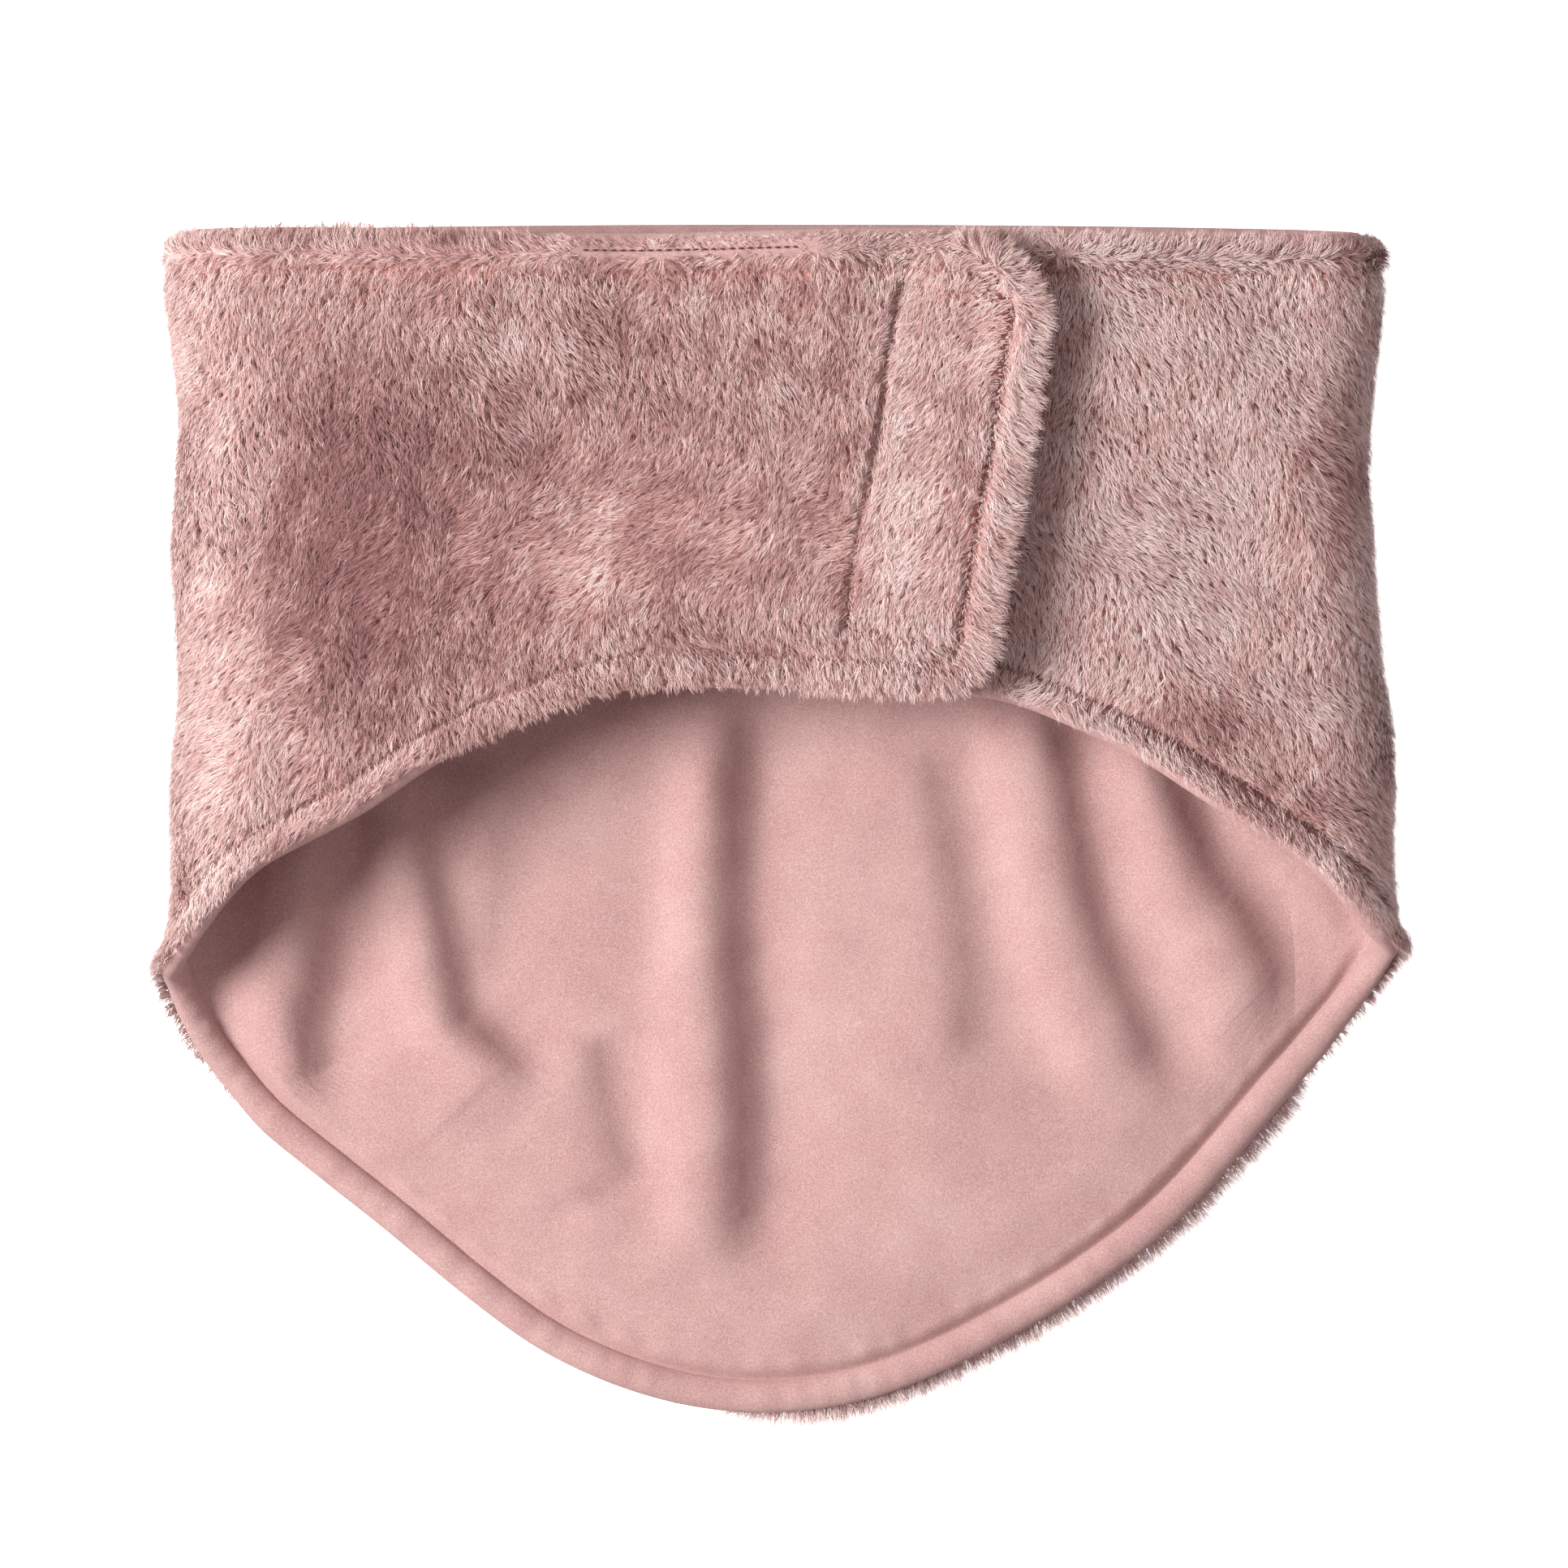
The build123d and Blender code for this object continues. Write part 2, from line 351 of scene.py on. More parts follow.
class Back:
    """The middle of the back, between the two side folds, with the unrolled x as its girth."""

    def __init__(self):
        out = np.arange(0.0, left.centre + 40, 1.0)
        self.half = [(-out[::-1], left), (out, right)]
        x = np.concatenate([-out[::-1], out[1:]])
        self.x_line, self.low_y = x, self.both(x, "lower")
        self.high_y = self.both(x, "upper")
        rim = np.stack([x, self.low_y], -1)
        top = np.stack([x, self.high_y], -1)[::-1]
        self.rim, self.top = Outline(rim), Outline(top)

    def both(self, x, what):
        on_left = getattr(left, what)(-x - left.centre)
        return np.where(x < 0, on_left, getattr(right, what)(x - right.centre))

    def lower(self, x):
        return np.interp(x, self.x_line, self.low_y)

    def upper(self, x):
        return np.interp(x, self.x_line, self.high_y)

    def x(self, g):
        return g


back = Back()


def place_on(path, g, y, depth):
    """Points for places on either wing's track or on the back."""
    if path is not back:
        return place(path, g, y, depth)
    on_left = place(left, -g - left.centre, y, depth)
    on_right = place(right, g - right.centre, y, depth)
    return np.where((np.asarray(g) < 0)[..., None], on_left, on_right)


# ---------------------------------------------------------------- meshes


def add_mesh(name, points, faces, material):
    """A mesh object from points in millimetres and faces of one size."""
    mesh = bpy.data.meshes.new(name)
    points = np.asarray(points, float).reshape(-1, 3) * MM
    faces = np.asarray(faces, int)
    count, size = faces.shape
    mesh.vertices.add(len(points))
    mesh.vertices.foreach_set("co", points.ravel())
    mesh.loops.add(count * size)
    mesh.loops.foreach_set("vertex_index", faces.ravel())
    mesh.polygons.add(count)
    mesh.polygons.foreach_set("loop_start", np.arange(count) * size)
    mesh.polygons.foreach_set("use_smooth", np.full(count, True))
    mesh.update(calc_edges=True)
    mesh.materials.append(material)
    obj = bpy.data.objects.new(name, mesh)
    bpy.context.scene.collection.objects.link(obj)
    return obj


def grid_faces(rows, columns, closed=False):
    """Quads of a grid of points, whose last column may join its first."""
    r, c = np.meshgrid(np.arange(rows - 1), np.arange(columns - (0 if closed else 1)), indexing="ij")
    r, c = r.ravel(), c.ravel()
    after = (c + 1) % columns
    here, above = r * columns, (r + 1) * columns
    return np.stack([here + c, here + after, above + after, above + c], -1)


def row_shares(rows):
    """Shares from 0 to 1, closer together towards both ends."""
    t = np.linspace(0, 1, rows)
    return t - 0.5 * np.sin(math.tau * t) / math.tau


def inset_height(path, inset):
    """The lower edge of a path moved in by a distance, as a function of girth."""
    g = path.x_line if path is back else path.g
    line = np.stack([g, path.lower(g)], -1)
    moved = line + inward(line) * inset
    return lambda at: np.interp(at, moved[:, 0], moved[:, 1])


def cloth_grid(path, g_start, g_end, inset, rows, step=1.0, lean=None, radii=(0.0, 0.0)):
    """Places of a grid of cloth inside the edge. With a lean, it ends in a wing's rounded end."""
    height = inset_height(path, inset)
    columns = max(2, int(abs(g_end - g_start) / step))
    shares = np.linspace(0, 1, columns)
    if lean is not None:
        shares = np.sin(shares * math.pi / 2) ** 0.8
    t = row_shares(rows)[:, None]
    y = np.full((rows, columns), 80.0)
    low_r, top_r = (max(radius - inset, 0.5) for radius in radii)
    for _ in range(6):
        end = g_end
        if lean is not None:
            end = g_end - inset / math.cos(lean) - (TOP_Y - y) * math.tan(lean)
        g = g_start + shares * (end - g_start) + np.zeros((rows, columns))
        room = end - g if lean is not None else np.full(g.shape, 99.0)
        rise = low_r - np.sqrt(low_r**2 - np.clip(low_r - room, 0, low_r) ** 2)
        drop = top_r - np.sqrt(top_r**2 - np.clip(top_r - room, 0, top_r) ** 2)
        bottom = height(g) + rise
        y = bottom + (path.upper(g) - inset - drop - bottom) * t
    return g, y


# ---------------------------------------------------------------- the lining's folds

LINING_LOFT = 3.4  # how far the bib's lining stands up from its resting place, between the folds
FOLD_SPREAD = 22.0  # distance over which a fold dies away

# Each soft slope of the bib's lining: the line along its middle, the distance from there to its crest and
# its hollow, and how steeply it falls to the left of someone who walks the line. It rises if negative.
FOLDS = [
    ([(-96, 14), (-100, -5), (-102, -22), (-101, -36), (-104, -48), (-104, -58), (-96, -70)], 8.5, 1.1),
    ([(-93, 12), (-93, -3), (-92, -16), (-89, -29), (-86, -39), (-80, -48), (-68, -60)], 5.0, -0.6),
    ([(-86, 24), (-81, 4), (-79, -9), (-76, -22), (-74, -33), (-71, -45), (-60, -54), (-52, -64)], 7.5, 1.0),
    ([(-128, -30), (-118, -46), (-108, -64)], 5.5, -0.4),
    ([(-62, 14), (-63, -10), (-66, -40)], 9.0, 0.4),
    ([(-42, -46), (-40, -64), (-33, -84)], 8.0, 0.4),
    ([(-40, -88), (-60, -83), (-76, -79), (-96, -75)], 4.0, 0.35),
    ([(-21, 26), (-24, 0), (-26, -40), (-27, -65), (-25, -104)], 7.0, -0.45),
    ([(-8, 38), (-11, 5), (-11, -32), (-9, -54), (-9, -84), (-12, -110)], 10.0, 0.85),
    ([(31, 20), (37, -8), (40, -22), (41, -35), (39, -62)], 10.0, 0.42),
    ([(42, 28), (49, 0), (51, -14), (54, -30), (60, -46), (70, -68)], 6.5, -0.5),
    ([(56, 32), (63, 10), (66, -6), (69, -22), (74, -36), (79, -48), (88, -68)], 8.5, 0.75),
    ([(70, 28), (77, 5), (80, -12), (86, -28), (92, -45), (98, -64)], 6.0, -0.42),
    ([(80, 22), (90, 0), (94, -11), (101, -22), (106, -34), (108, -52)], 8.5, 0.75),
    ([(94, 14), (104, -4), (112, -16), (117, -28), (117, -46)], 6.0, -0.35),
]


def distance_to_line(x, y, points):
    """Distance to a polyline, positive on the left of its way, and the share of the way along it."""
    line = even(points, 1.0)
    way = np.gradient(line, axis=0)
    flat_x, flat_y = np.ravel(x), np.ravel(y)
    best, share = np.full(flat_x.shape, 1e9), np.zeros(flat_x.shape)
    for index, (px, py) in enumerate(line):
        dx, dy = flat_x - px, flat_y - py
        d = np.hypot(dx, dy) * np.where(way[index, 0] * dy - way[index, 1] * dx < 0, -1, 1)
        closer = np.abs(d) < np.abs(best)
        best[closer] = d[closer]
        share[closer] = index / (len(line) - 1)
    return best.reshape(np.shape(x)), share.reshape(np.shape(x))


def lining_rise(x, y, edge_distance):
    """How far the lining of the back stands up from its resting place."""
    rise = LINING_LOFT + 0.4 * waves(x, y, 46, 21) + 0.12 * waves(x, y, 17, 22)
    for points, crest, fall in FOLDS:
        distance, share = distance_to_line(x, y, points)
        fade = smooth_step(0, 0.16, share) * smooth_step(1.0, 0.8, share)
        step = distance / (1 + (distance / crest) ** 2) * np.exp(-((distance / FOLD_SPREAD) ** 2))
        rise = rise - fall * fade * step
    puckers = 0.3 * waves(x, y, 8, 24) * np.exp(-(((edge_distance - 10) / 3) ** 2))
    near_roll = smooth_step(EDGE_TUCK, 11, edge_distance)
    held = 0.45 * near_roll + 0.55 * smooth_step(EDGE_TUCK, 24, edge_distance)
    groove = 0.9 * np.exp(-(((edge_distance - 7.4) / 1.3) ** 2))
    return ((rise + puckers) * held - groove) * smooth_step(138, 120, np.abs(x))


def lining_sheet(name, path, edges, g_start, g_end, material, rows=250, **ending):
    """The jersey lining over one stretch of the band, inside the rolled edges."""
    g, y = cloth_grid(path, g_start, g_end, EDGE_TUCK, rows, **ending)
    distance = edge_distance(edges, g, y)
    flat_x = path.x(g)
    on_back = np.ones(g.shape) if path is back else smooth_step(18, 0, g)
    rise = on_back * lining_rise(flat_x, y, distance)
    calm = smooth_step(0, 12, tape_distance(flat_x, y)) * smooth_step(EDGE_TUCK, 20, distance)
    rise = rise + (1 - on_back) * calm * 0.35 * (1 + waves(flat_x, y, 38, 23))
    points = place_on(path, g, y, -rise)
    return add_mesh(name, points, grid_faces(*g.shape), material)


def edge_distance(edges, g, y):
    """Distance inside the nearest of several edges."""
    found = [edge.nearest(g, y)[0].reshape(np.shape(g)) for edge in edges]
    return np.minimum.reduce(found)


def seam_dip(path, g, distance):
    """How deep the stitching pulls the plush in, from 0 to 1. It fades round a side fold."""
    dip = np.exp(-(((distance - SEAM_INSET) / 1.2) ** 2))
    if path is back:
        return dip
    return dip * (1 - 0.85 * np.exp(-(((g / path.arc - 0.5) / 0.4) ** 2)))


def pressed(path, g, y, distance):
    """Depth of the plush's backing, with the dips that the stitching presses into it."""
    depth = BACKING_DEPTH + 0.5 * np.exp(-(((distance - 4.2) / 2.4) ** 2))
    depth = depth - SEAM_DIP * seam_dip(path, g, distance)
    box = tape_distance(path.x(g), y)
    if path is left:
        on_wing = smooth_step(path.arc * 0.8, path.arc, g)
        depth = depth - on_wing * (SEAM_DIP * np.exp(-((box / 1.2) ** 2)) + 0.6 * smooth_step(1, -2, box))
    if path is right:
        on_wing = smooth_step(path.arc * 0.8, path.arc, g)
        depth = depth + on_wing * (WALL - 0.1 - BACKING_DEPTH) * smooth_step(2.6, 0.4, box)
    return depth


def backing_sheet(name, path, edges, g_start, g_end, material, rows=200, **ending):
    """The plush's knitted backing over one stretch of the band, which carries the pile."""
    g, y = cloth_grid(path, g_start, g_end, 3.0, rows, **ending)
    depth = pressed(path, g, y, edge_distance(edges, g, y))
    return add_mesh(name, place_on(path, g, y, depth), grid_faces(*g.shape), material)


def along(edge, at):
    """Places and inward normals at fractional steps of an edge."""
    index = np.arange(len(edge.points))
    place_at = [np.interp(at, index, edge.points[:, k]) for k in (0, 1)]
    normal = [np.interp(at, index, edge.normals[:, k]) for k in (0, 1)]
    return np.stack(place_at, -1), np.stack(normal, -1)


def rolled_edge(name, path, edge, first, last, material, seed, sides=20):
    """The rolled jersey edge along part of an outline, slightly puckered by its stitching."""
    at = np.arange(first, last + 0.1, 2.0)
    if at[-1] < last:
        at = np.append(at, last)
    spot, normal = along(edge, at)
    turn = np.linspace(0, math.tau, sides, endpoint=False)
    run = at * 0.5
    fade = np.minimum(1, np.minimum(at - first, last - at) / 8)
    pucker = 1 + fade * (0.05 * waves(run, 0, 7, seed) + 0.05 * waves(run, 0, 31, seed + 1))
    inset = ROLL_WIDTH / 2 * (1 - np.cos(turn))[None, :] * np.ones((len(at), 1))
    depth = ROLL_DEPTH + ROLL_RISE * np.sin(turn)[None, :] * pucker[:, None]
    g = spot[:, :1] + normal[:, :1] * inset
    y = spot[:, 1:] + normal[:, 1:] * inset
    points = place_on(path, g, y, depth)
    return add_mesh(name, points, grid_faces(len(at), sides, closed=True), material)


def stitch_row(name, path, edge, first, last, inset, depth, material, radius=0.28, length=2.5, pitch=3.3):
    """A row of separate stitches beside an edge, each a short plump thread."""
    starts = np.arange(first + 2, last - 2 - length / 0.5, pitch / 0.5)
    share = np.linspace(0, 1, 6)
    turn = np.linspace(0, math.tau, 6, endpoint=False)
    at = starts[:, None] + share * length / 0.5
    spot, normal = along(edge, at.ravel())
    plump = radius * np.sqrt(np.clip(1 - (2 * share - 1) ** 4, 0.02, 1))
    sunk = -0.35 * (2 * share - 1) ** 2
    across = np.tile(plump[:, None] * np.cos(turn), (len(starts), 1, 1))
    up = np.tile(plump[:, None] * np.sin(turn) + sunk[:, None] * np.sign(depth - 0.01), (len(starts), 1, 1))
    spot = spot.reshape(len(starts), 6, 1, 2)
    normal = normal.reshape(len(starts), 6, 1, 2)
    g = spot[..., 0] + normal[..., 0] * (inset + across)
    y = spot[..., 1] + normal[..., 1] * (inset + across)
    g, y, up = (values.reshape(len(starts), -1) for values in (g, y, up))
    points = place_on(path, g, y, depth + up)
    one = grid_faces(6, 6, closed=True)
    faces = np.concatenate([one + 36 * k for k in range(len(starts))])
    return add_mesh(name, points, faces, material)


# ---------------------------------------------------------------- pile

TONES = 5
DENSE = 1.05  # spacing of the pile's locks
PER_LOCK = 8
STRAND = 0.2  # width at the root
MOST_STRANDS = 38000  # in one mesh
EVERYWHERE = 999.0  # further from the edge than any place on the cloth
FRINGE_LENGTH = 1.9  # of the fringe, as a share of the pile's length
# painted light: the fringe below the rim lies in shade and is painted paler to stand in for light
FRINGE_PAINTED_LIGHT = 1.0  # how much paler the fringe is


def roots(path, edges, g_start, g_end, spacing, within, rng):
    """Places of the pile's locks, evenly scattered, with their distance from the edge and its normal."""
    y_low = float(np.min(path.lower(np.linspace(g_start, g_end, 200))))
    y_high = float(np.max(path.upper(np.linspace(g_start, g_end, 200))))
    g, y = np.meshgrid(np.arange(g_start, g_end, spacing), np.arange(y_low, y_high, spacing))
    g = g.ravel() + rng.uniform(-0.5, 0.5, g.size) * spacing
    y = y.ravel() + rng.uniform(-0.5, 0.5, y.size) * spacing
    distance, normal = edges[0].nearest(g, y)
    for edge in edges[1:]:
        other, other_normal = edge.nearest(g, y)
        closer = other < distance
        distance = np.where(closer, other, distance)
        normal = np.where(closer[:, None], other_normal, normal)
    kept = (distance > 0.4) & (distance < within) & (g > g_start) & (g < g_end)
    return g[kept], y[kept], distance[kept], normal[kept]


def root_depth(path, g, y, distance):
    """Where the pile starts: on the backing, or on the rolled edge."""
    across = np.clip((distance - ROLL_WIDTH / 2) / (ROLL_WIDTH / 2), -1, 1)
    roll = ROLL_DEPTH + ROLL_RISE * np.sqrt(1 - across**2)
    return np.maximum(pressed(path, g, y, distance), roll - 0.15)


SHARES = np.array([0, 0.34, 0.7, 1.0])  # the way along a strand at which it has points
TAPER = np.array([1.0, 0.86, 0.55])
SLOPES = np.array([1.5, 0.8, 0.12])  # how it bends over, as shares of its lean
ROUNDNESS = 0.7  # how far a strand's shading turns across it


def strand_mesh(name, line, side, out, width, material):
    """Curved, pointed ribbons from lines of four points each, shaded as the round fibres they stand for."""
    count = len(line)
    half = 0.5 * width[:, None, None] * TAPER[None, :, None] * side[:, None]
    points = np.empty((count, 7, 3))
    points[:, 0:6:2] = line[:, :3] - half
    points[:, 1:6:2] = line[:, :3] + half
    points[:, 6] = line[:, 3]
    one = np.array([[0, 1, 3], [0, 3, 2], [2, 3, 5], [2, 5, 4], [4, 5, 6]])
    faces = (one[None] + 7 * np.arange(count)[:, None, None]).reshape(-1, 3)
    obj = add_mesh(name, points, faces, material)
    across = np.tile([-1.0, 1.0, -1.0, 1.0, -1.0, 1.0, 0.0], count)[:, None]
    normals = np.repeat(out, 7, axis=0) + ROUNDNESS * across * np.repeat(side, 7, axis=0)
    obj.data.normals_split_custom_set_from_vertices(unit(normals))
    return obj


def unit(v):
    return v / np.linalg.norm(v, axis=-1, keepdims=True)


# Patches where the pile lies another way, and one of painted shade: place, size, and how much paler it looks
PATCHES = [
    (-74, 80, 30, 38, -1.2),
    (-98, 60, 16, 38, -1.5),
    (-84, 46, 14, 20, -0.8),
    (-26, 70, 14, 34, -1.0),
    (-52, 42, 10, 12, -0.5),
    (13, 78, 8, 30, -0.8),
    (40, 70, 6, 40, -1.1),
    (92, 22, 14, 10, -1.8),
    # painted shade: the lower right corner is painted darker where the right fold turns away from the light
    (116, 4, 16, 12, -2.0),
    (124, 74, 12, 24, -1.0),
    (-72, 106, 20, 10, 0.9),
    (-39, 62, 8, 22, 1.0),
    (26, 60, 8, 40, 1.1),
]


def lay_and_painted_light_tone(x, y):
    """How light the pile is painted: paler at the left fold as painted light, paler on the right partly from
    the way it lies and partly as painted light, and in patches.
    """
    tone = 0.25 * waves(x, y, 38, 81) + 0.35 * waves(x, y, 12, 82)
    # painted light: the left fold is painted paler where the light falls on it, and the right half paler,
    # partly for the way its pile lies
    tone = tone + 0.95 * smooth_step(10, 46, x) + 0.5 * smooth_step(-108, -128, x)
    for middle_x, middle_y, size_x, size_y, paler in PATCHES:
        tone = tone + paler * np.exp(-(((x - middle_x) / size_x) ** 2) - ((y - middle_y) / size_y) ** 2)
    return tone


def grow(name, path, edges, g_start, g_end, seed, comb, spacing=DENSE, within=EVERYWHERE, fringe=False):
    """The pile on one stretch of the band: locks of strands, as one mesh or more for each tone.

    comb gives each lock's direction in girth and height. A fringe is longer, painted paler as painted light,
    and seen from above."""
    rng = np.random.default_rng(seed)
    g, y, distance, normal2 = roots(path, edges, g_start, g_end, spacing, within, rng)
    keep = keep_lock(path, g, y, distance)
    g, y, distance, normal2 = g[keep], y[keep], distance[keep], normal2[keep]
    x = path.x(g)
    way_g, way_y = comb(path, g, y, distance, normal2)
    angle = np.arctan2(way_y, way_g) + rng.normal(0, 0.22, len(g))
    length, lean = lock_shape(path, g, y, distance)
    length = length * (FRINGE_LENGTH if fringe else 1.0) * rng.uniform(0.8, 1.12, len(g))
    # painted light: the fringe is painted paler, and the pile's tone elsewhere holds painted light and shade
    shade = (FRINGE_PAINTED_LIGHT if fringe else lay_and_painted_light_tone(x, y)) + rng.normal(0, 0.5, len(g))

    # Every lock becomes several strands that gather towards its tip
    lock = np.repeat(np.arange(len(g)), PER_LOCK)
    offset = rng.normal(0, 0.42, (len(lock), 2)) * spacing
    sg, sy = g[lock] + offset[:, 0], y[lock] + offset[:, 1]
    depth = root_depth(path, sg, sy, distance[lock])
    root = place_on(path, sg, sy, depth)
    along_g = unit(place_on(path, sg + 0.4, sy, depth) - root)
    along_y = unit(place_on(path, sg, sy + 0.4, depth) - root)
    out = unit(place_on(path, sg, sy, depth + 0.4) - root)
    turn = angle[lock] + rng.normal(0, 0.16, len(lock))
    flow = unit(along_g * np.cos(turn)[:, None] + along_y * np.sin(turn)[:, None])
    size = length[lock] * rng.uniform(0.82, 1.08, len(lock))
    rise = lean[lock] + rng.normal(0, 0.12, len(lock))
    slope = rise[:, None] * SLOPES
    step = np.diff(SHARES) * size[:, None]
    forward = np.hstack([np.zeros((len(lock), 1)), np.cumsum(np.cos(slope) * step, axis=1)])
    upward = np.hstack([np.zeros((len(lock), 1)), np.cumsum(np.sin(slope) * step, axis=1)])
    gather = (SHARES**1.4)[None, :, None] * rng.uniform(0.25, 0.95, (len(lock), 1, 1))
    aside = -(offset[:, :1] * along_g + offset[:, 1:] * along_y)
    line = root[:, None] + forward[..., None] * flow[:, None] + upward[..., None] * out[:, None]
    line = line + gather * aside[:, None]
    line[..., 2] = np.maximum(line[..., 2], 0.15)
    shown = np.array([0.0, 0.0, 1.0]) if fringe else out
    side = unit(np.cross(flow, shown))
    twist = rng.normal(0, 0.45, len(lock))[:, None]
    side = side * np.cos(twist) + shown * np.sin(twist)
    facing = unit(shown + 0.45 * np.cross(side, flow) + rng.normal(0, 0.2, out.shape))
    width = STRAND * math.sqrt(spacing / DENSE) * rng.uniform(0.75, 1.25, len(lock))
    tone = shade[lock] + rng.normal(0, 0.35, len(lock))
    level = np.clip(np.round(tone * 1.05 + (TONES - 1) / 2), 0, TONES - 1).astype(int)
    made = []
    for index in range(TONES):
        chosen = np.flatnonzero(level == index)
        parts = math.ceil(len(chosen) / MOST_STRANDS)
        for part in range(parts):
            some = chosen[part::parts]
            shape = line[some], side[some], facing[some], width[some]
            made.append(strand_mesh(f"{name}_{index + 1}_{part + 1}", *shape, piles[index]))
    return made


def overhang(path, g, y):
    """How far the pile hangs past the edge: 1 hides the rolled edge and 0 leaves it bare."""
    x = path.x(g)
    top = smooth_step(70, 100, y)
    if path is back:
        return (1 - top) * smooth_step(-16, 8, x) + 0.1 * top
    on_wing = smooth_step(path.arc * 0.4, path.arc * 0.6, g)
    on_fold = np.exp(-(((g / path.arc - 0.5) / 0.45) ** 2)) * (1 - top)
    if path is right:
        on_hem, on_top, on_rim = 0.3, 0.75, 0.9
    else:
        flap_end = smooth_step(36, 44, x)
        on_hem = smooth_step(-84, -66, x)
        on_top = np.maximum(0.45 * smooth_step(-48, -72, x), 0.35 * flap_end) + 0.5
        on_rim = 0.1
    flat = on_wing * (on_hem * (1 - top) + on_top * top) + (1 - on_wing) * (on_rim * (1 - top) + 0.3 * top)
    return flat + (0.9 - flat) * on_fold


def keep_lock(path, g, y, distance):
    """Locks that aren't on a bare rolled edge, under the loop tape or over the hand stitches."""
    x = path.x(g)
    keep = distance > 0.5 + 1.8 * (1 - overhang(path, g, y))
    if path is right:
        keep &= (g < path.arc) | (tape_distance(x, y) > 0.5)
    if path is left:
        line = gap_line_y(g)
        in_parting = (g > path.arc) & (np.abs(y - line + 0.5) < 1.0) & (x > GAP_SEAM[0]) & (x < GAP_SEAM[1])
        keep &= ~in_parting
    return keep


def lock_shape(path, g, y, distance):
    """Length and lean of each lock: short in the stitched dips, and pressed down over the hook tape."""
    x = path.x(g)
    dip = seam_dip(path, g, distance)
    length = PILE * (1 - 0.5 * dip) * (1 - 0.2 * smooth_step(4, 1, distance))
    lean = 0.84 + 0.12 * waves(x, y, 23, 41) + 0.2 * dip
    if path is left:
        on_wing = g > path.arc
        box = tape_distance(x, y)
        line = np.exp(-((box / 1.0) ** 2)) * on_wing
        length = length * (1 - 0.6 * line) * (1 - 0.12 * on_wing * smooth_step(0, -3, box))
        shaggy = on_wing * smooth_step(34, 44, x) * smooth_step(11, 7, distance)
        velvet = on_wing * smooth_step(110, 122, y) * smooth_step(-58, -46, x) * smooth_step(40, 30, x)
        length = length * (1 + 0.32 * shaggy) * (1 - 0.5 * velvet * smooth_step(7, 4, distance))
        lean = lean - 0.2 * on_wing * smooth_step(0, -3, box)
    under = 1.0 if path is back else smooth_step(6, -6, g)
    return length, np.maximum(lean * (1 - 0.5 * under), 0.12)


def tape_normal(x, y):
    """Direction away from the tape's outline."""
    dx = tape_distance(x + 0.5, y) - tape_distance(x - 0.5, y)
    dy = tape_distance(x, y + 0.5) - tape_distance(x, y - 0.5)
    size = np.hypot(dx, dy) + 1e-6
    return dx / size, dy / size


def combed(base_g, base_y, swirl_seed):
    """Pile that lies one way, with wandering swirls, and parts along each stitched line.

    Near an edge it turns along it, or out past it where it overhangs."""

    def comb(path, g, y, distance, normal):
        turn = 0.42 * waves(g, y, 58, swirl_seed) + 0.26 * waves(g, y, 19, swirl_seed + 1)
        way_g = base_g * np.cos(turn) - base_y * np.sin(turn)
        way_y = base_g * np.sin(turn) + base_y * np.cos(turn)
        near = smooth_step(SEAM_INSET + 1, 2.5, distance)
        out = overhang(path, g, y)
        along_g, along_y = normal[:, 1], -normal[:, 0]
        same_way = np.where(way_g * along_g + way_y * along_y < 0, -1, 1)
        beside = 0.7 * same_way * (1 - out)
        way_g = way_g * (1 - 0.8 * near) + near * (beside * along_g - normal[:, 0] * out)
        way_y = way_y * (1 - 0.8 * near) + near * (beside * along_y - normal[:, 1] * out)
        part = 0.45 * np.exp(-(((distance - SEAM_INSET) / 1.8) ** 2)) * np.sign(distance - SEAM_INSET)
        way_g, way_y = way_g + normal[:, 0] * part, way_y + normal[:, 1] * part
        if path is left:
            x = path.x(g)
            box = tape_distance(x, y)
            part = 0.5 * np.exp(-((box / 1.8) ** 2)) * np.sign(box) * (g > path.arc)
            out_x, out_y = tape_normal(x, y)
            way_g, way_y = way_g + out_x * part, way_y + out_y * part
        return way_g, way_y

    return comb


GAP_SEAM = (-45.0, 4.5)  # x range of the hand stitches at the top edge
GAP_INSET = 4.0


def gap_line_y(g):
    return left.upper(g) - GAP_INSET


# ---------------------------------------------------------------- materials


def srgb(red, green, blue):
    values = np.array([red, green, blue]) / 255
    linear = np.where(values <= 0.04045, values / 12.92, ((values + 0.055) / 1.055) ** 2.4)
    return (*linear.tolist(), 1.0)


def new_material(name, colour, roughness, sheen=0.0, specular=0.3, sheen_tint=(1, 1, 1, 1)):
    material = bpy.data.materials.new(name)
    material.use_nodes = True
    shader = material.node_tree.nodes["Principled BSDF"]
    shader.inputs["Base Color"].default_value = colour
    shader.inputs["Roughness"].default_value = roughness
    shader.inputs["Sheen Weight"].default_value = sheen
    shader.inputs["Sheen Roughness"].default_value = 0.5
    shader.inputs["Sheen Tint"].default_value = sheen_tint
    shader.inputs["Specular IOR Level"].default_value = specular
    return material, material.node_tree, shader


def noise(tree, scale, detail=3.0, roughness=0.55, stretch=(1, 1, 1)):
    """Noise in the object's own coordinates, with scale in patches per metre."""
    where = tree.nodes.new("ShaderNodeTexCoord")
    mapping = tree.nodes.new("ShaderNodeMapping")
    mapping.inputs["Scale"].default_value = stretch
    texture = tree.nodes.new("ShaderNodeTexNoise")
    texture.inputs["Scale"].default_value = scale
    texture.inputs["Detail"].default_value = detail
    texture.inputs["Roughness"].default_value = roughness
    tree.links.new(where.outputs["Object"], mapping.inputs["Vector"])
    tree.links.new(mapping.outputs["Vector"], texture.inputs["Vector"])
    return texture.outputs["Fac"]


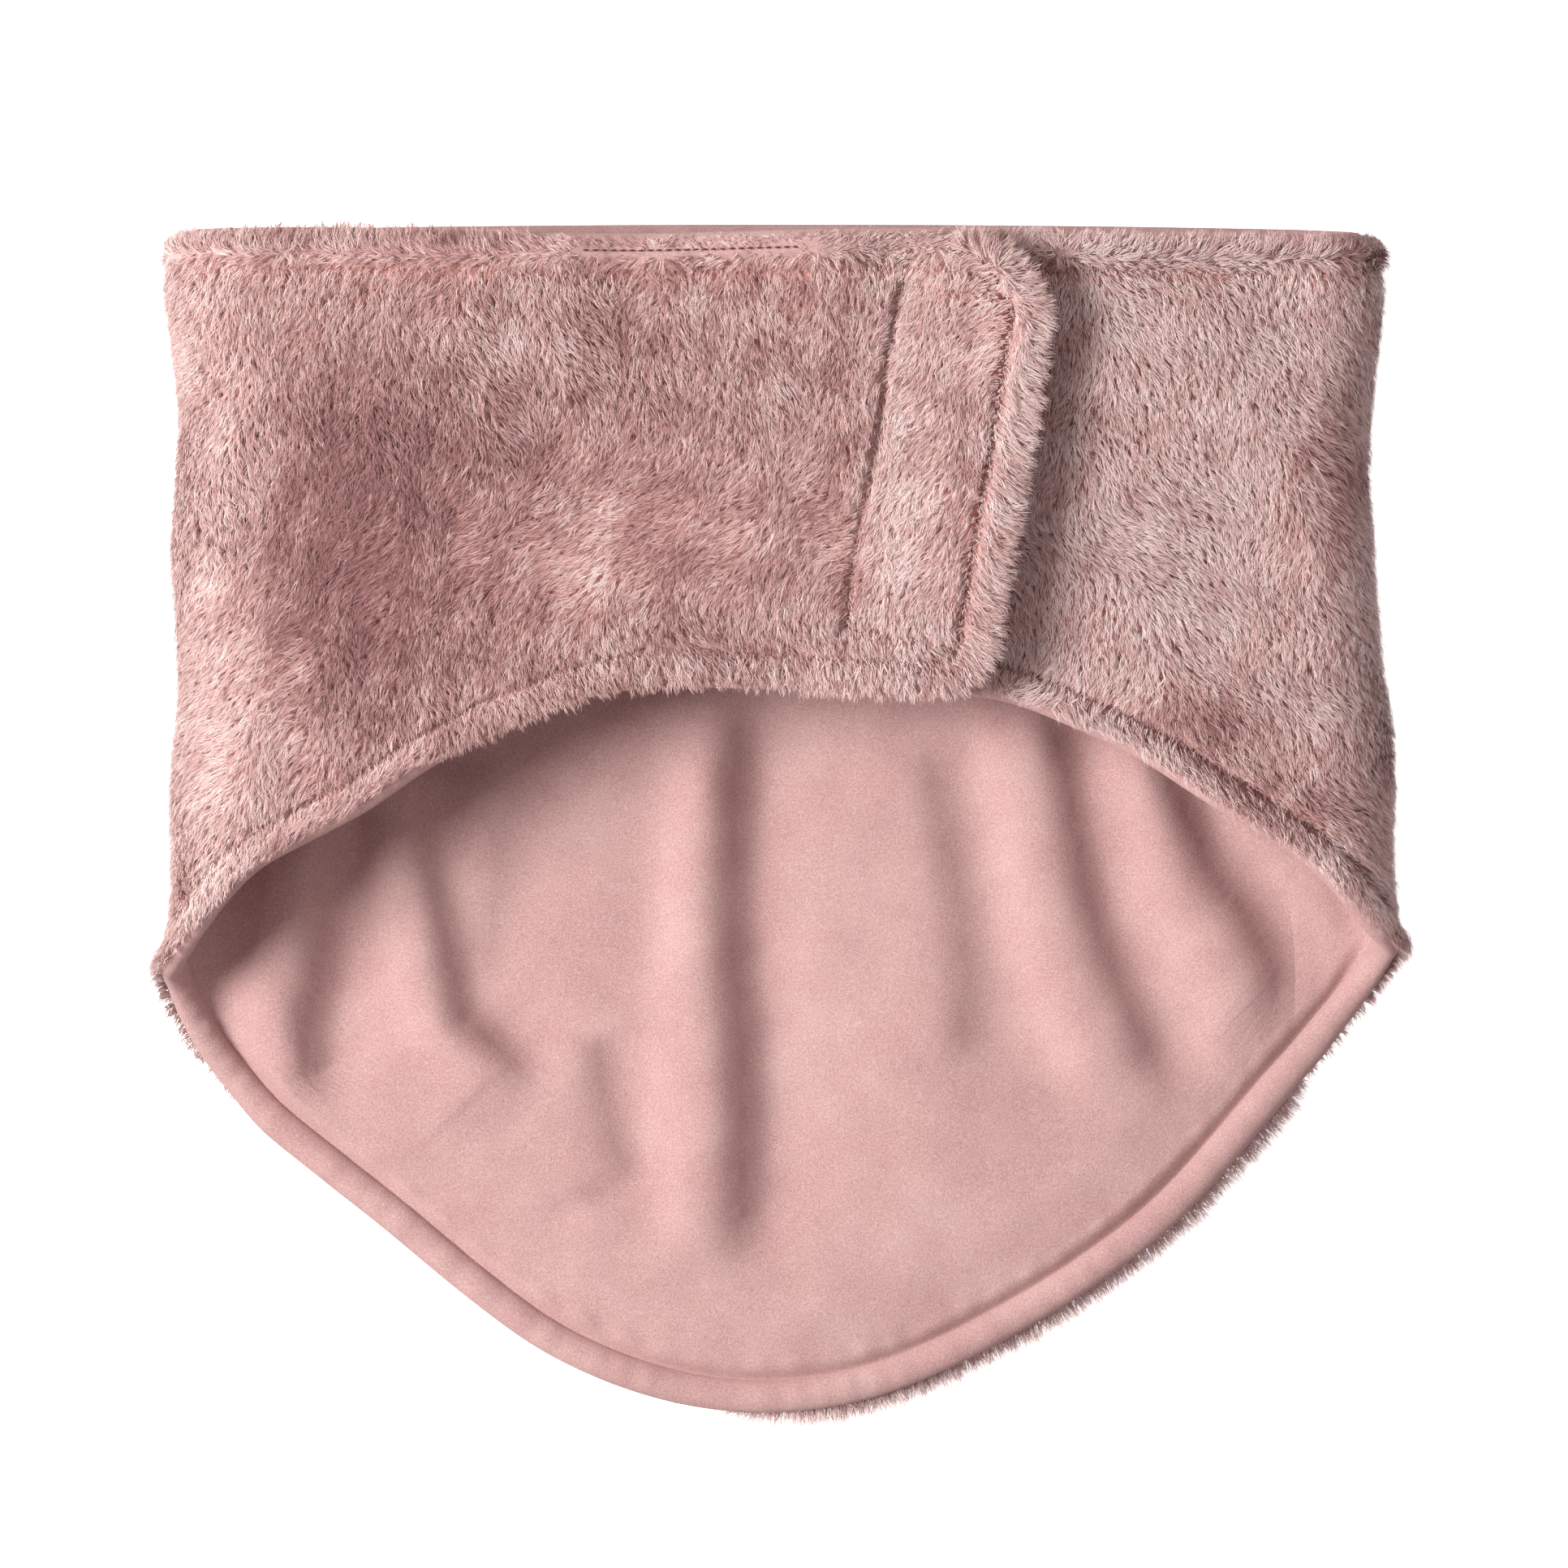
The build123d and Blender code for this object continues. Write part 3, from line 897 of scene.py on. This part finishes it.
def ramp(tree, factor, stops):
    """Colours at values of a factor."""
    node = tree.nodes.new("ShaderNodeValToRGB")
    elements = node.color_ramp.elements
    while len(elements) < len(stops):
        elements.new(0.5)
    for element, (position, colour) in zip(elements, stops):
        element.position = position
        element.color = colour
    tree.links.new(factor, node.inputs["Fac"])
    return node.outputs["Color"]


def mix(tree, factor, first, second, blend="MIX"):
    node = tree.nodes.new("ShaderNodeMix")
    node.data_type = "RGBA"
    node.blend_type = blend
    if isinstance(factor, float):
        node.inputs["Factor"].default_value = factor
    else:
        tree.links.new(factor, node.inputs["Factor"])
    tree.links.new(first, node.inputs["A"])
    tree.links.new(second, node.inputs["B"])
    return node.outputs["Result"]


def add_bump(tree, shader, height, strength, distance):
    bump = tree.nodes.new("ShaderNodeBump")
    bump.inputs["Strength"].default_value = strength
    bump.inputs["Distance"].default_value = distance
    tree.links.new(height, bump.inputs["Height"])
    tree.links.new(bump.outputs["Normal"], shader.inputs["Normal"])


def jersey_material(name, lift=0):
    """Brushed jersey: a short raised nap over a fine knit, mottled at the size of its fibres."""
    material, tree, shader = new_material(name, srgb(208, 168, 164), 0.95, 0.3, 0.1, srgb(255, 225, 220))
    fuzz = noise(tree, 2600, 4, 0.75)
    grain = ramp(tree, fuzz, [(0.34, srgb(163 + lift, 123 + lift, 121 + lift)), (0.5, srgb(196, 158, 156)),
                              (0.66, srgb(224, 196, 192))])
    broad = ramp(tree, noise(tree, 60, 3), [(0.3, srgb(182, 137, 136)), (0.7, srgb(208, 173, 169))])
    tree.links.new(mix(tree, 0.4, grain, broad), shader.inputs["Base Color"])
    add_bump(tree, shader, fuzz, 0.55, 0.0004)
    return material


def pile_materials():
    """The pile's own tones from dark to pale, the darkest more saturated as painted shade and the palest
    whiter as painted highlight.
    """
    tones = [(156, 108, 107), (190, 144, 141), (218, 179, 175), (235, 206, 202), (245, 223, 220)]
    made = []
    for index, tone in enumerate(tones):
        name = f"pile_{index + 1}"
        made.append(new_material(name, srgb(*tone), 0.55, 0.3, 0.45, srgb(255, 236, 232))[0])
    return made


def backing_material():
    material, tree, shader = new_material("backing", srgb(214, 158, 150), 0.95, 0.2, 0.1)
    knit = noise(tree, 900, 3, 0.6)
    colour = ramp(tree, knit, [(0.35, srgb(196, 136, 129)), (0.65, srgb(226, 174, 166))])
    tree.links.new(colour, shader.inputs["Base Color"])
    add_bump(tree, shader, knit, 0.6, 0.0006)
    return material


def thread_material(name, colour, dark):
    material, tree, shader = new_material(name, srgb(*colour), 0.6, 0.2, 0.3)
    twist = noise(tree, 2500, 2, 0.5, (1, 3, 1))
    shades = ramp(tree, twist, [(0.3, srgb(*dark)), (0.7, srgb(*colour))])
    tree.links.new(shades, shader.inputs["Base Color"])
    add_bump(tree, shader, twist, 0.5, 0.0002)
    return material


def tape_material(name, colour, dark, roughness):
    """Nylon tape: a fine woven ground."""
    material, tree, shader = new_material(name, srgb(*colour), roughness, 0.1, 0.4)
    weave = noise(tree, 1800, 2, 0.5, (1, 0.35, 1))
    shades = ramp(tree, weave, [(0.3, srgb(*dark)), (0.7, srgb(*colour))])
    tree.links.new(shades, shader.inputs["Base Color"])
    add_bump(tree, shader, weave, 0.6, 0.0003)
    return material


# ---------------------------------------------------------------- the pieces

jersey = jersey_material("jersey")
rolled = jersey_material("jersey_roll", 2)
piles = pile_materials()
backing = backing_material()
thread = thread_material("thread", (206, 164, 160), (180, 136, 132))
dark_thread = thread_material("dark_thread", (112, 66, 68), (74, 38, 42))

back_side = {"path": back, "edges": [back.rim, back.top], "g_start": -BACK_SEAM_X, "g_end": BACK_SEAM_X}
left_start = left.girth(-BACK_SEAM_X, False)
left_split = left.girth(WING_SEAM_X, True)
left_side = {"path": left, "edges": [left_edge], "g_start": left_start, "g_end": left_split}
flap_end = left.girth(FLAP_END_X, True)
flap_side = {"path": left, "edges": [left_edge], "g_start": left_split, "g_end": flap_end}
right_start = right.girth(BACK_SEAM_X, False)
right_end = right.girth(UNDERLAP_X, True)
right_side = {"path": right, "edges": [right_edge], "g_start": right_start, "g_end": right_end}
flap_ending = {"lean": -TAPE_LEAN, "radii": FLAP_RADII}
right_ending = {"lean": 0.0, "radii": UNDERLAP_RADII}

lining_back = lining_sheet("lining_back", material=jersey, rows=280, **back_side)
lining_left = lining_sheet("lining_left", material=jersey, **left_side)
lining_flap = lining_sheet("lining_flap", material=jersey, **flap_side, **flap_ending)
lining_right = lining_sheet("lining_right", material=jersey, **right_side, **right_ending)

backing_back = backing_sheet("plush_back", material=backing, **back_side)
backing_left = backing_sheet("plush_left", material=backing, **left_side)
backing_flap = backing_sheet("plush_flap", material=backing, **flap_side, **flap_ending)
backing_right = backing_sheet("plush_right", material=backing, **right_side, **right_ending)


def step_at(edge, g, first=True):
    """The step of an outline nearest to a girth, on its lower run or its top run."""
    half = len(edge.points) // 2
    part = edge.points[:half, 0] if first else edge.points[half:, 0]
    index = int(np.abs(part - g).argmin())
    return index if first else index + half


bib_steps = (step_at(back.rim, -BACK_SEAM_X), step_at(back.rim, BACK_SEAM_X, False))
top_steps = (step_at(back.top, BACK_SEAM_X), step_at(back.top, -BACK_SEAM_X, False))
low_left = (step_at(left_edge, left_start), step_at(left_edge, left_split))
high_left = (step_at(left_edge, left_split, False), step_at(left_edge, left_start, False))
round_flap = (low_left[1], high_left[0])
round_right = (step_at(right_edge, right_start), step_at(right_edge, right_start, False))
roll_bib = rolled_edge("roll_bib", back, back.rim, *bib_steps, rolled, 31)
roll_back_top = rolled_edge("roll_back_top", back, back.top, *top_steps, rolled, 33)
roll_left_hem = rolled_edge("roll_left_hem", left, left_edge, *low_left, rolled, 35)
roll_left_top = rolled_edge("roll_left_top", left, left_edge, *high_left, rolled, 37)
roll_flap = rolled_edge("roll_flap", left, left_edge, *round_flap, rolled, 39)
roll_right = rolled_edge("roll_right", right, right_edge, *round_right, rolled, 43)

STITCH_INSET = 7.9
STITCH_DEPTH = 0.9


def topstitch(name, path, edge, steps):
    return stitch_row(name, path, edge, *steps, STITCH_INSET, STITCH_DEPTH, thread)


stitch_bib = topstitch("stitch_bib", back, back.rim, bib_steps)
stitch_back_top = topstitch("stitch_back_top", back, back.top, top_steps)
stitch_left_hem = topstitch("stitch_left_hem", left, left_edge, low_left)
stitch_left_top = topstitch("stitch_left_top", left, left_edge, high_left)
stitch_flap = topstitch("stitch_flap", left, left_edge, round_flap)
stitch_right = topstitch("stitch_right", right, right_edge, round_right)
gap_first = step_at(left_edge, left.girth(GAP_SEAM[1], True), False)
gap_last = step_at(left_edge, left.girth(GAP_SEAM[0], True), False)
gap = stitch_row(
    "gap_stitches_seen", left, left_edge, gap_first, gap_last, GAP_INSET, 4.6, dark_thread, 0.24, 1.3, 2.0
)

down_left = combed(-0.25, -1.0, 51)
down_right = combed(-0.3, -1.0, 61)
fur_back = grow("fur_back", seed=71, comb=down_left, spacing=1.9, **back_side)
bib_right = dict(back_side, edges=[back.rim], g_start=-20.0)
fur_fringe = grow("fur_fringe", seed=75, comb=down_left, within=5.0, fringe=True, **bib_right)
fur_left = grow("fur_left", seed=72, comb=down_left, **left_side)
fur_flap = grow("fur_flap", seed=73, comb=down_left, **flap_side)
fur_right = grow("fur_right", seed=74, comb=down_right, **right_side)

# ---------------------------------------------------------------- the kept CAD pieces

hook_nylon = tape_material("hook_nylon", (205, 158, 152), (170, 120, 116), 0.45)
loop_nylon = tape_material("loop_nylon", (214, 170, 163), (182, 134, 129), 0.85)
for node, material in {
    "hook_tape": hook_nylon,
    "hooks": hook_nylon,
    "hook_tape_stitches": thread,
    "loop_tape": loop_nylon,
    "loop_tape_stitches": thread,
}.items():
    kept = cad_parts[node]
    for kept_slot in kept.material_slots:
        kept_slot.material = material

# ---------------------------------------------------------------- what each piece rides on


def turn_left(piece):
    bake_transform(piece)


def turn_right(piece):
    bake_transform(piece)


def turn_flap(piece):
    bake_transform(piece)


def stay(piece):
    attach(piece, "back")


def settle(pieces, move, material_slot, *nodes):
    """Every piece of one stretch moves one way and stands for the same nodes, whose CAD pieces it hides;
    material_slot is not used.
    """
    for piece in pieces:
        move(piece)
        if nodes:
            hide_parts(*nodes)


settle([lining_back], stay, "jersey", "back_lining")
settle([lining_left], turn_left, "jersey", "left_lining")
settle([lining_flap], turn_flap, "jersey", "flap_lining")
settle([lining_right], turn_right, "jersey", "right_lining")
settle([backing_back], stay, "plush", "back_plush")
settle([backing_left], turn_left, "plush", "left_plush")
settle([backing_flap], turn_flap, "plush", "flap_plush")
settle([backing_right], turn_right, "plush", "right_plush")
settle([roll_bib], stay, "jersey", "bib_binding")
settle([roll_back_top], stay, "jersey", "back_top_binding")
settle([roll_left_hem], turn_left, "jersey", "left_hem_binding")
settle([roll_left_top], turn_left, "jersey", "left_top_binding")
settle([roll_flap], turn_flap, "jersey", "flap_binding")
settle([roll_right], turn_right, "jersey", "right_binding")
settle([stitch_bib, stitch_back_top], stay, "thread", "back_stitching")
settle([stitch_left_hem, stitch_left_top], turn_left, "thread", "left_stitching")
settle([stitch_flap], turn_flap, "thread", "flap_stitching")
settle([stitch_right], turn_right, "thread", "right_stitching")
settle([gap], turn_flap, "dark_thread", "gap_stitches")
settle(fur_back + fur_fringe, stay, "plush")
settle(fur_left, turn_left, "plush")
settle(fur_flap, turn_flap, "plush")
settle(fur_right, turn_right, "plush")

# ---------------------------------------------------------------- floor, light and camera

scene = bpy.context.scene
# A table lit from within, so that it stays pale beside the object
floor_material, _, floor_shader = new_material("floor", (0.9, 0.9, 0.9, 1), 0.9, 0.0, 0.1)
bpy.ops.mesh.primitive_plane_add(size=8.0, location=(0, 0, 0))
floor = bpy.context.object
floor.name = "floor"
floor.data.materials.append(floor_material)
floor_shader.inputs["Emission Color"].default_value = (1, 1, 1, 1)
floor_shader.inputs["Emission Strength"].default_value = 0.8
floor.visible_diffuse = False

world = bpy.data.worlds.new("studio")
world.use_nodes = True
world.node_tree.nodes["Background"].inputs["Color"].default_value = (1.0, 0.89, 0.89, 1)
world.node_tree.nodes["Background"].inputs["Strength"].default_value = 0.45
scene.world = world


def area_light(name, place_mm, target_mm, size_mm, power, colour):
    data = bpy.data.lights.new(name, "AREA")
    data.shape = "DISK"
    data.size = size_mm * MM
    data.energy = power
    data.color = colour
    lamp = bpy.data.objects.new(name, data)
    scene.collection.objects.link(lamp)
    lamp.location = Vector(place_mm) * MM
    away = Vector(place_mm) - Vector(target_mm)
    lamp.rotation_euler = away.to_track_quat("Z", "Y").to_euler()
    return lamp


area_light("key", (-1800, 160, 1700), (0, 0, 20), 1200, 87.0, (1.0, 0.985, 0.965))

CAMERA_HEIGHT = 2500.0
FRAME_WIDTH = 347.8
camera_data = bpy.data.cameras.new("camera")
camera_data.sensor_width = 36.0
camera_data.lens = 36.0 * (CAMERA_HEIGHT - 25.0) / FRAME_WIDTH
camera_data.clip_start = 0.05
camera_data.clip_end = 50.0
camera = bpy.data.objects.new("camera", camera_data)
scene.collection.objects.link(camera)
camera.location = Vector((0.4, 7.4, CAMERA_HEIGHT)) * MM
camera.rotation_euler = (0, 0, 0)
scene.camera = camera
scene.view_settings.view_transform = "Standard"
